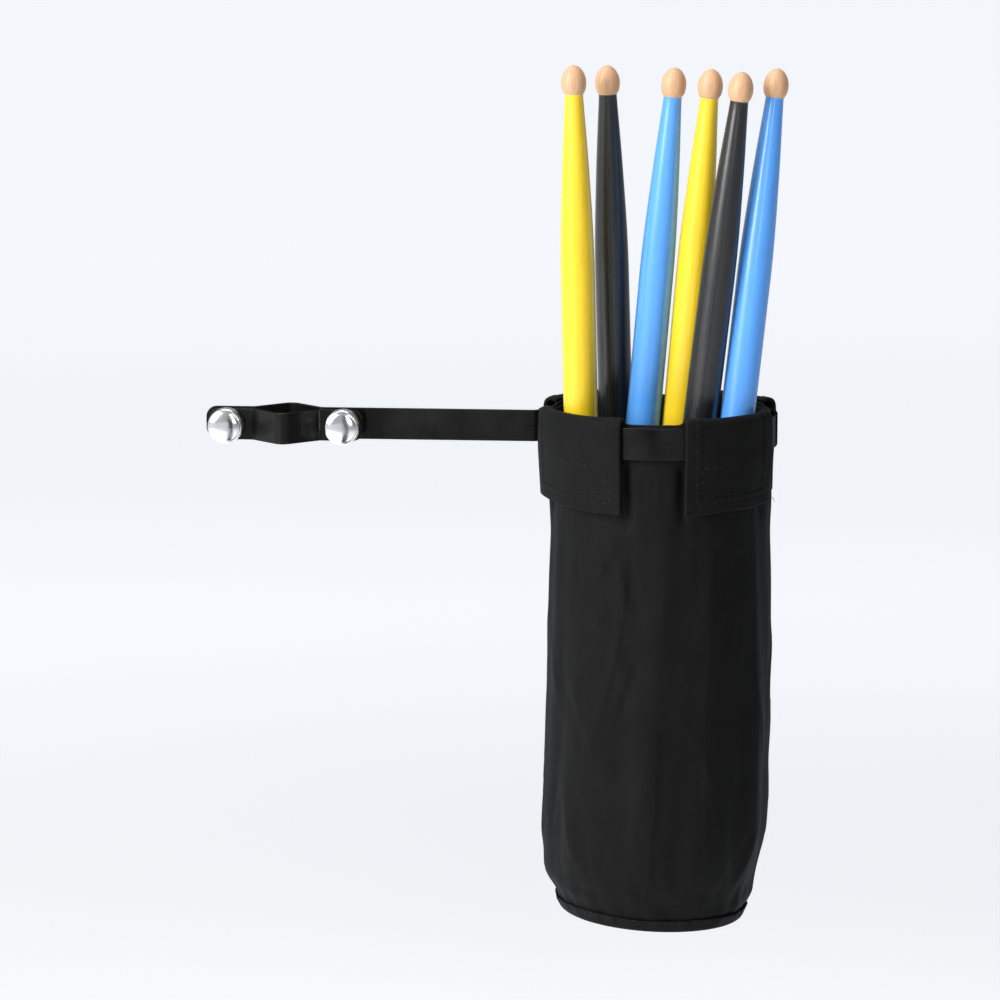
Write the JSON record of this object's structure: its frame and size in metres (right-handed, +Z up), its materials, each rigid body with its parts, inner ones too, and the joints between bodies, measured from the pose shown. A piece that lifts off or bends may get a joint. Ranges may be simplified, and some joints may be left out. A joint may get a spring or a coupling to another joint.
{
  "type": "drum stick bag",
  "caption": "Fabric drum stick quiver folded over a flat-bar mouth ring, on a flat-bar arm with a V-jaw stand clamp and thumb screws, holding drum sticks.",
  "frame": {"origin": "centre of the underside of the bag's base; the gripped stand tube's axis is at X -0.178, Y -0.0035, with the clamp's mid height at Z 0.2352", "axes": "+Z up along the stand tube and the bag; +X along the arm from the clamp to the bag; -Y is the thumb screw side"},
  "size_m": [0.277, 0.1136, 0.4082],
  "materials": {
    "black_coat": "semi-gloss black powder coat on steel bar",
    "chrome": "polished, knurled rim",
    "zinc": "zinc plated",
    "bag_fabric": "coated black woven polyester",
    "edge_binding": "black woven binding tape",
    "hook_tape": "black hook tape",
    "loop_tape": "black loop tape",
    "stick_yellow": "gloss yellow lacquer, bare wood tip",
    "stick_blue": "gloss blue lacquer, bare wood tip",
    "stick_black": "gloss black lacquer, bare wood tip"
  },
  "bodies": {
    "holder": {"support_arm": "black_coat", "mouth_ring": "black_coat", "ring_rivet_upper": "black_coat", "ring_rivet_lower": "black_coat", "clamp_nut_left": "zinc", "clamp_nut_right": "zinc", "bag_wall": "bag_fabric", "bag_base": "bag_fabric", "base_binding": "edge_binding", "loop_tape_front_left": "loop_tape", "loop_tape_front_right": "loop_tape", "loop_tape_back_left": "loop_tape", "loop_tape_back_right": "loop_tape"},
    "clamp_jaw": {"clamp_jaw": "black_coat"},
    "thumb_screw_left": {"thumb_screw_left": "chrome"},
    "thumb_screw_right": {"thumb_screw_right": "chrome"},
    "flap_back_right": {"flap_back_right": "bag_fabric", "hook_tape_back_right": "hook_tape"},
    "flap_back_left": {"flap_back_left": "bag_fabric", "hook_tape_back_left": "hook_tape"},
    "flap_front_left": {"flap_front_left": "bag_fabric", "hook_tape_front_left": "hook_tape"},
    "flap_front_right": {"flap_front_right": "bag_fabric", "hook_tape_front_right": "hook_tape"},
    "drumstick_yellow_left": {"drumstick_yellow_left": "stick_yellow"},
    "drumstick_black_left": {"drumstick_black_left": "stick_black"},
    "drumstick_blue_middle": {"drumstick_blue_middle": "stick_blue"},
    "drumstick_yellow_right": {"drumstick_yellow_right": "stick_yellow"},
    "drumstick_black_right": {"drumstick_black_right": "stick_black"},
    "drumstick_blue_right": {"drumstick_blue_right": "stick_blue"}
  },
  "joints": [
    {"name": "jaw_slide", "type": "slide", "parent": "holder", "child": "clamp_jaw", "axis": [0, -1, 0], "range_m": [-0.004, 0.006]},
    {"name": "screw_left_turn", "type": "hinge", "parent": "clamp_jaw", "child": "thumb_screw_left", "pos_m": [-0.206, -0.0083, 0.2352], "axis": [0, -1, 0], "range_deg": [-1445, 2165]},
    {"name": "screw_right_turn", "type": "hinge", "parent": "clamp_jaw", "child": "thumb_screw_right", "pos_m": [-0.15, -0.0083, 0.2352], "axis": [0, -1, 0], "range_deg": [-1445, 2165]},
    {"name": "flap_back_right_fold", "type": "hinge", "parent": "holder", "child": "flap_back_right", "pos_m": [0.03823, 0.04322, 0.2432], "axis": [0.749, -0.6626, 0], "range_deg": [0, 150]},
    {"name": "flap_back_left_fold", "type": "hinge", "parent": "holder", "child": "flap_back_left", "pos_m": [-0.0408, 0.0408, 0.2432], "axis": [0.7071, 0.7071, 0], "range_deg": [0, 150]},
    {"name": "flap_front_left_fold", "type": "hinge", "parent": "holder", "child": "flap_front_left", "pos_m": [-0.0408, -0.0408, 0.2432], "axis": [-0.7071, 0.7071, 0], "range_deg": [0, 150]},
    {"name": "flap_front_right_fold", "type": "hinge", "parent": "holder", "child": "flap_front_right", "pos_m": [0.03823, -0.04322, 0.2432], "axis": [-0.749, -0.6626, 0], "range_deg": [0, 150]},
    {"name": "drumstick_yellow_left_slide", "type": "slide", "parent": "holder", "child": "drumstick_yellow_left", "axis": [-0.021, -0.0463, 0.9987], "range_m": [0, 0.26]},
    {"name": "drumstick_black_left_slide", "type": "slide", "parent": "holder", "child": "drumstick_black_left", "axis": [-0.0226, -0.0904, 0.9957], "range_m": [0, 0.26]},
    {"name": "drumstick_blue_middle_slide", "type": "slide", "parent": "holder", "child": "drumstick_blue_middle", "axis": [0.0871, -0.0562, 0.9946], "range_m": [0, 0.26]},
    {"name": "drumstick_yellow_right_slide", "type": "slide", "parent": "holder", "child": "drumstick_yellow_right", "axis": [0.0863, -0.0744, 0.9935], "range_m": [0, 0.26]},
    {"name": "drumstick_black_right_slide", "type": "slide", "parent": "holder", "child": "drumstick_black_right", "axis": [0.1144, -0.0551, 0.9919], "range_m": [0, 0.26]},
    {"name": "drumstick_blue_right_slide", "type": "slide", "parent": "holder", "child": "drumstick_blue_right", "axis": [0.105, 0.0255, 0.9941], "range_m": [0, 0.26]}
  ],
  "couplings": [
    {"joint": "screw_left_turn", "follows": "jaw_slide", "rad_per_m": 6283.2},
    {"joint": "screw_right_turn", "follows": "jaw_slide", "rad_per_m": 6283.2}
  ]
}
